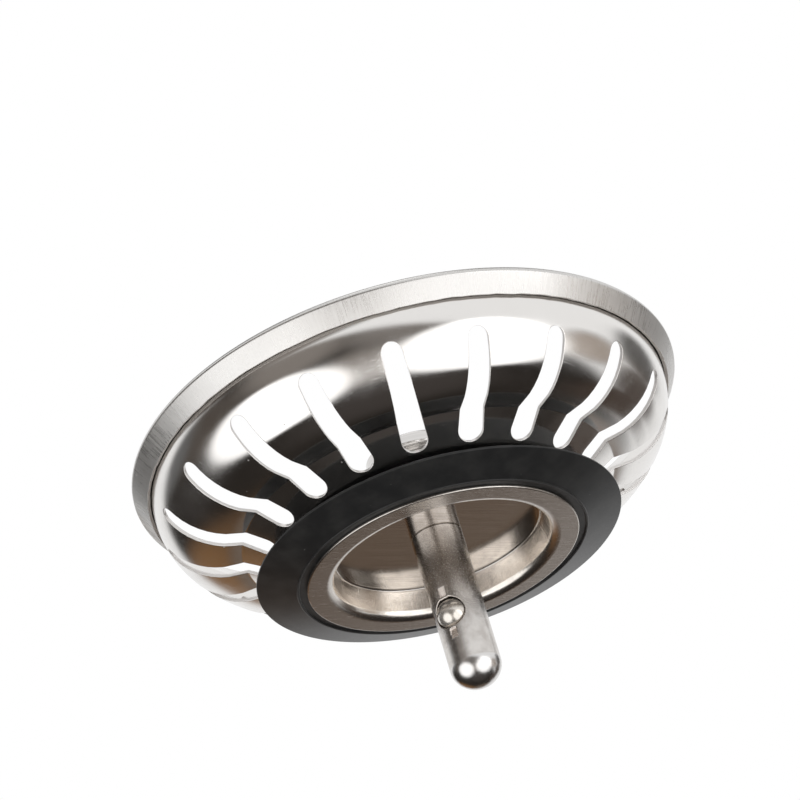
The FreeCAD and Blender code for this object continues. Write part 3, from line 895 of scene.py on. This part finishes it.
rib_points, rib_normals, rib_weights, rib_faces = half_rib(slot_outline())
all_points, all_normals, all_weights, all_faces = [], [], [], []
for number in range(SLOT_COUNT):
    angle = 2 * math.pi * (number + 0.5) / SLOT_COUNT
    cosine, sine = math.cos(angle), math.sin(angle)
    swing = np.array([[cosine, -sine, 0], [sine, cosine, 0], [0, 0, 1]])
    for side in (1, -1):
        mirror = np.diag([1, side, 1])
        shift = len(rib_points) * len(all_points)
        all_points.append(rib_points @ mirror @ swing.T)
        all_normals.append(rib_normals @ mirror @ swing.T)
        all_weights.append(rib_weights)
        all_faces += [tuple(i + shift for i in face) for face in rib_faces]
all_points, all_normals, all_weights = (np.concatenate(x) for x in (all_points, all_normals, all_weights))
hem_weights, cut_weights, ragged_weights, raw_weights = all_weights.T
rim_angle = np.arctan2(all_points[:, 1], all_points[:, 0])
lip_waves = sum(size * np.sin(count * rim_angle + phase) for count, phase, size in LIP_WAVES)
ragged_edge = lip_waves * ragged_weights
all_points[:, 0] -= ragged_edge * FLARE_OUT * np.cos(rim_angle)
all_points[:, 1] -= ragged_edge * FLARE_OUT * np.sin(rim_angle)
all_points[:, 2] -= ragged_edge * FLARE_UP

bowl_finish, tree, shader = new_finish("polished bowl sheet")
hem_share, cut_share, raw_share = (weight(tree, name) for name in ("hem", "cut", "raw"))
marks = use(tree, handling, Dust=0.8)
drawn = use(tree, draw_marks, Marks=150.0, Slip=0.25)
brushed = use(tree, sheet_brushing, Fineness=14.0)["Lines"]
bowl_place = place_mm(tree)
# The lip's band on the -X side: its deep lines are wear, and its darker tone is painted shade.
worn_and_shaded_noise = times(noise(bowl_place, WORN_AND_SHADED_SCALE, detail=4.0, roughness=0.7), WORN_AND_SHADED_BREAK)
worn_and_shaded_reach = plus(vector("DOT_PRODUCT", bowl_place, WORN_AND_SHADED_SIDE, "Value"), worn_and_shaded_noise)
worn_and_shaded = times(spread(worn_and_shaded_reach, *WORN_AND_SHADED_SPAN), hem_share)
polish_tone = tint(marks["Smudges"], POLISH_DARK, POLISH_LIGHT)
hem_tone = tint(spread(drawn["Lines"], *HEM_SPAN), HEM_DARK, HEM_LIGHT)
worn_and_shaded_tone = tint(spread(drawn["Lines"], *WORN_AND_SHADED_LINE_SPAN), WORN_AND_SHADED_DARK, WORN_AND_SHADED_LIGHT)
bowl_tone = tint(hem_share, polish_tone, tint(worn_and_shaded, hem_tone, worn_and_shaded_tone))
for share, steel in ((cut_share, CUT_STEEL), (raw_share, RAW_STEEL), (marks["Dust"], BOWL_DUST)):
    bowl_tone = tint(share, bowl_tone, steel)
bowl_rough = spread(marks["Smudges"], *SMUDGE_SPAN, *POLISH_ROUGH)
bowl_rough = plus(bowl_rough, times(marks["Scratches"], SCRATCH_ROUGH))
bowl_rough = plus(bowl_rough, times(marks["Dust"], DUST_ROUGH))
hem_rough = times(spread(drawn["Lines"], *GRAIN_SPAN, *HEM_ROUGH), hem_share)
edge_rough = plus(times(cut_share, CUT_ROUGH), times(raw_share, RAW_ROUGH))
bowl_rough = plus(bowl_rough, hem_rough, edge_rough)
line_depth = times(spread(worn_and_shaded, 0.0, 1.0, *HEM_LINE_DEPTH), hem_share)
hem_lines = times(maths("SUBTRACT", drawn["Lines"], drawn["Deep Lines"]), line_depth)
fine_lines = times(plus(marks["Scratches"], times(brushed, BRUSH_SHARE)), FINE_LINE_DEPTH)
fine_lines = times(fine_lines, rest_of(cut_share))
coat(shader, bowl_tone, bowl_rough, plus(hem_lines, fine_lines), *BOWL_RELIEF)
shader.inputs["Anisotropic"].default_value = POLISH_DIRECTION
round_rim = add("ShaderNodeTangent", tree=tree, direction_type="RADIAL", axis="Z").outputs[0]
along_sheet = vector("ADD", round_rim, joined(z=times(cut_share, CUT_TURN)))
link(along_sheet, shader.inputs["Tangent"])
bowl_weights = {"hem": hem_weights, "cut": cut_weights, "raw": raw_weights}
bowl = solid("slotted_bowl", all_points, all_normals, all_faces, bowl_finish, bowl_weights)
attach(bowl, "strainer")
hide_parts("basket_bowl")

# Lock washer: a split ring of spring steel, pressed flat under the knob.
# Its slanted ends bite into the knob and the bowl, so that the knob does not work loose.
WASHER_DARK, WASHER_LIGHT = (0.3, 0.295, 0.29, 1), (0.47, 0.46, 0.45, 1)
WASHER_GRAIN, WASHER_ROUGH, WASHER_RELIEF = 0.2, (0.26, 0.42), (0.02, 0.5)

washer_finish, tree, shader = new_finish("plain spring steel")
grain = use(tree, blasted_grain, Grain_Size=WASHER_GRAIN)
washer_rough = spread(grain["Grain"], *GRAIN_SPAN, *WASHER_ROUGH)
washer_tone = tint(grain["Patches"], WASHER_DARK, WASHER_LIGHT)
coat(shader, washer_tone, washer_rough, grain["Grain"], *WASHER_RELIEF)
refinish("lock_washer", washer_finish)

# Knob: a mushroom grip turned from stainless bar, polished with fine lathe rings left on its crown.
# It screws onto the pin's stud and clamps the whole strainer together.
KNOB_PATH = [
    (0.0, 11.5, 0), (2.5, 11.5, 0.2), (2.5, 2.5, 0.2), (4.2, 2.5, 0.5), (4.2, 11.5, 2.0),
    (6.8, 11.5, 0.5), (6.8, 13.35, 0.3), (3.497, 14.5, 19.2), (0.0, 14.5, 0),
]
KNOB_TURN, KNOB_STEPS = 6.0, 120
KNOB_DARK, KNOB_LIGHT, KNOB_DUST = (0.63, 0.615, 0.6, 1), (0.71, 0.695, 0.68, 1), (0.82, 0.8, 0.78, 1)
RING_SPAN, RING_ROUGH, KNOB_SCRATCH_ROUGH = (0.3, 0.7), (0.06, 0.13), 0.1
KNOB_RELIEF = (0.004, 0.5)

lathe_rings, rings_in, rings_out = effect("lathe rings", {"Fineness": 14.0}, ["Rings"])
ring_x, ring_y, ring_level = apart(place_mm(lathe_rings))
ring_radius = vector("LENGTH", joined(ring_x, ring_y), output="Value")
ring_spot = joined(ring_radius, ring_level)
link(noise(ring_spot, rings_in["Fineness"], detail=3.0, roughness=0.7), rings_out["Rings"])

knob_finish, tree, shader = new_finish("polished knob steel")
rings = use(tree, lathe_rings, Fineness=9.0)["Rings"]
marks = use(tree, handling, Dust=0.7)
knob_tone = tint(spread(rings, *RING_SPAN), KNOB_DARK, KNOB_LIGHT)
ring_rough = spread(rings, *RING_SPAN, *RING_ROUGH)
knob_rough = plus(ring_rough, times(marks["Scratches"], KNOB_SCRATCH_ROUGH))
knob_tone = tint(marks["Dust"], knob_tone, KNOB_DUST)
coat(shader, knob_tone, knob_rough, rings, *KNOB_RELIEF)
knob_points, knob_normals = bent_profile(KNOB_PATH, turn_step=KNOB_TURN)
knob = turned("grip_knob", knob_points, -knob_normals, knob_finish, closed=False, steps=KNOB_STEPS)
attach(knob, "strainer")
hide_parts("knob")

# Studio: a pale floor far below, a white surround, and round softboxes beside the camera and above.
# A dark flag round the camera's side is what the polished steel mirrors as its dark half.
# Its tones and patches give (azimuth from the camera, elevation, full within, gone beyond), in degrees.
CAMERA_PLACE = Vector((0.1043, -0.2244, -0.12553))
CAMERA_AZIMUTH, CAMERA_ELEVATION, CAMERA_ROLL = 24.78, -30.94, 16.92
CAMERA_LENS, CAMERA_SENSOR, CAMERA_NEAREST = 90.0, 36.0, 0.01
LAMP_MIDDLE, LAMP_EDGE, LAMP_FULL, LAMP_EDGE_SHARE = (0.5, 0.5, 0.0), 0.5, 0.43, 0.05
WHITE = (1, 1, 1, 1)
WHITE_SIDE, SHADE_SIDE = 1.0, 0.55
FLOOR_LEVEL, FLOOR_HALF, FLOOR_FADE = -1.1, 9.0, (4.2, 1.2)
FLOOR_PALE, FLOOR_ROUGH, FLOOR_GLOW = (0.86, 0.86, 0.86, 1), 0.9, 0.36
FLAG_RADIUS, FLAG_ROWS, FLAG_COLUMNS = 0.9, 49, 72
FLAG_POLE, FLAG_REACH = Vector((0.302, 0.428, 0.852)).normalized(), (83, 92)
FLAG_CLOTH = (0.026, 0.022, 0.019, 1)
FLAG_TONES = (
    (0, -90, 5, 32, (0.058, 0.05, 0.046, 1)),
    (-156, -17, 4, 24, (0.22, 0.12, 0.055, 1)),
    (-82, 8, 6, 28, (0.09, 0.075, 0.064, 1)),
    (-34, 16, 10, 30, (0.26, 0.235, 0.215, 1)),
    (-7, -35, 8, 34, (0.27, 0.243, 0.22, 1)),
    (8, 4, 6, 26, (0.22, 0.2, 0.185, 1)),
    (180, -30, 4, 18, (0.165, 0.125, 0.097, 1)),
    (-105, 20, 4, 22, (0.15, 0.15, 0.15, 1)),
    (93, -15, 8, 22, (0.4, 0.34, 0.29, 1)),
    (120, 6, 10, 20, (0.1, 0.095, 0.09, 1)),
    (128, -16, 10, 22, (0.075, 0.058, 0.048, 1)),
    (139, -31, 8, 20, (0.07, 0.052, 0.042, 1)),
    (0, 90, 24, 44, (0.24, 0.235, 0.23, 1)),
)
FLAG_PATCHES = ((93, -15, 8, 20), (120, 6, 10, 19), (128, -16, 10, 19), (139, -31, 8, 18), (0, 90, 24, 44))


def direction(azimuth, elevation):
    """Unit vector from the part towards a place round it, from an azimuth and an elevation in degrees."""
    a, e = math.radians(azimuth), math.radians(elevation)
    return Vector((math.sin(a) * math.cos(e), -math.cos(a) * math.cos(e), math.sin(e)))


def softbox(name, azimuth, elevation, distance, half_angle, radiance):
    """Round lamp facing the part, as wide as the angle it fills from there, with a soft edge."""
    lamp = bpy.data.lights.new(name, "AREA")
    lamp.shape = "DISK"
    lamp.size = 2 * distance * math.tan(math.radians(half_angle))
    lamp.energy = radiance * math.pi * math.pi * (lamp.size / 2) ** 2
    lamp.use_nodes = True
    across = add("ShaderNodeNewGeometry", tree=lamp.node_tree).outputs["Parametric"]
    from_middle = vector("DISTANCE", across, LAMP_MIDDLE, "Value")
    soft_edge = spread(from_middle, LAMP_EDGE, LAMP_FULL, LAMP_EDGE_SHARE)
    link(soft_edge, lamp.node_tree.nodes["Emission"].inputs["Strength"])
    lamp_object = placed(name, lamp)
    toward = direction(azimuth, elevation)
    lamp_object.location = toward * distance
    lamp_object.rotation_euler = toward.to_track_quat("Z", "Y").to_euler()
    lamp_object.visible_camera = False


def looked_at(tree):
    """Socket with 1 for rays that see a thing, straight or mirrored, and 0 for those that light others."""
    rays = add("ShaderNodeLightPath", tree=tree).outputs
    seen = maths("MAXIMUM", rays["Is Camera Ray"], rays["Is Glossy Ray"])
    return maths("MAXIMUM", seen, rays["Is Transmission Ray"])


softbox("left softbox", CAMERA_AZIMUTH - 54, elevation=-30, distance=0.5, half_angle=34, radiance=1.55)
softbox("right softbox", CAMERA_AZIMUTH + 44, elevation=-33, distance=0.5, half_angle=36, radiance=1.55)
softbox("top softbox", azimuth=40, elevation=72, distance=0.8, half_angle=20, radiance=1.2)

back = direction(CAMERA_AZIMUTH, CAMERA_ELEVATION)
level_right = Vector((math.cos(math.radians(CAMERA_AZIMUTH)), math.sin(math.radians(CAMERA_AZIMUTH)), 0))
level_up = back.cross(level_right)
roll = math.radians(CAMERA_ROLL)
camera_right = level_right * math.cos(roll) - level_up * math.sin(roll)
camera_up = level_right * math.sin(roll) + level_up * math.cos(roll)
camera_turn = Matrix((camera_right, camera_up, back)).transposed().to_4x4()
camera_data = bpy.data.cameras.new("camera")
camera_data.lens = CAMERA_LENS
camera_data.sensor_width = CAMERA_SENSOR
camera_data.clip_start = CAMERA_NEAREST
camera = placed("camera", camera_data)
camera.matrix_world = Matrix.Translation(CAMERA_PLACE) @ camera_turn
bpy.context.scene.camera = camera

world = bpy.data.worlds.new("white surround")
world.use_nodes = True
surround = world.node_tree.nodes["Background"].inputs
world_strength = spread(looked_at(world.node_tree), 0.0, 1.0, SHADE_SIDE, WHITE_SIDE)
link(world_strength, surround["Strength"])
surround["Color"].default_value = WHITE
world.cycles.sampling_method = "NONE"
bpy.context.scene.world = world

floor_mesh = bpy.data.meshes.new("floor")
floor_sides = ((-1, -1), (1, -1), (1, 1), (-1, 1))
floor_corners = [(x * FLOOR_HALF, y * FLOOR_HALF, FLOOR_LEVEL) for x, y in floor_sides]
floor_mesh.from_pydata(floor_corners, [], [(0, 1, 2, 3)])
floor = placed("floor", floor_mesh)
floor_finish, tree, shader = new_finish("pale floor")
shader.inputs["Base Color"].default_value = FLOOR_PALE
shader.inputs["Roughness"].default_value = FLOOR_ROUGH
shader.inputs["Emission Color"].default_value = WHITE
floor_place = add("ShaderNodeTexCoord", tree=tree).outputs["Object"]
floor_far = vector("LENGTH", floor_place, output="Value")
link(spread(floor_far, *FLOOR_FADE), shader.inputs["Alpha"])
link(times(looked_at(tree), FLOOR_GLOW), shader.inputs["Emission Strength"])
floor_mesh.materials.append(floor_finish)

flag_mesh = bpy.data.meshes.new("dark flag")
flag_turn = FLAG_POLE.to_track_quat("Z", "Y")
flag_points = []
for i in range(FLAG_ROWS):
    lift = math.radians(90 - 180 * i / (FLAG_ROWS - 1))
    for j in range(FLAG_COLUMNS):
        angle = 2 * math.pi * j / FLAG_COLUMNS
        spot = Vector(spun(math.cos(lift), angle, math.sin(lift)))
        flag_points.append(flag_turn @ (spot * FLAG_RADIUS))
flag_mesh.from_pydata(flag_points, [], grid_faces(FLAG_ROWS, FLAG_COLUMNS))
flag = placed("dark flag", flag_mesh)
flag.visible_camera = False
flag.visible_diffuse = False
flag.visible_shadow = False
flag.visible_transmission = False
flag_finish, tree, shader = new_finish("dark flag cloth")
tree.nodes.remove(shader)
flag_spot = vector("NORMALIZE", add("ShaderNodeTexCoord", tree=tree).outputs["Object"])


def toward_share(toward, near, far):
    """Share of the flag that fades from 1 within near degrees of a direction to 0 at far degrees."""
    facing = vector("DOT_PRODUCT", flag_spot, toward, "Value")
    return spread(facing, math.cos(math.radians(far)), math.cos(math.radians(near)))


flag_tone = FLAG_CLOTH
for azimuth, elevation, near, far, tone in FLAG_TONES:
    share = toward_share(direction(CAMERA_AZIMUTH + azimuth, elevation), near, far)
    flag_tone = tint(share, flag_tone, tone)
flag_cover = toward_share(-FLAG_POLE, *FLAG_REACH)
for azimuth, elevation, near, far in FLAG_PATCHES:
    patch = toward_share(direction(CAMERA_AZIMUTH + azimuth, elevation), near, far)
    flag_cover = maths("MAXIMUM", flag_cover, patch)
flag_glow = add("ShaderNodeEmission", {"Color": flag_tone}).outputs[0]
flag_clear = add("ShaderNodeBsdfTransparent", tree=tree).outputs[0]
flag_mix = add("ShaderNodeMixShader", {0: flag_cover, 1: flag_clear, 2: flag_glow})
link(flag_mix.outputs[0], tree.nodes["Material Output"].inputs["Surface"])
flag_finish.cycles.emission_sampling = "NONE"
flag_mesh.materials.append(flag_finish)

bpy.context.scene.view_settings.view_transform = "Standard"
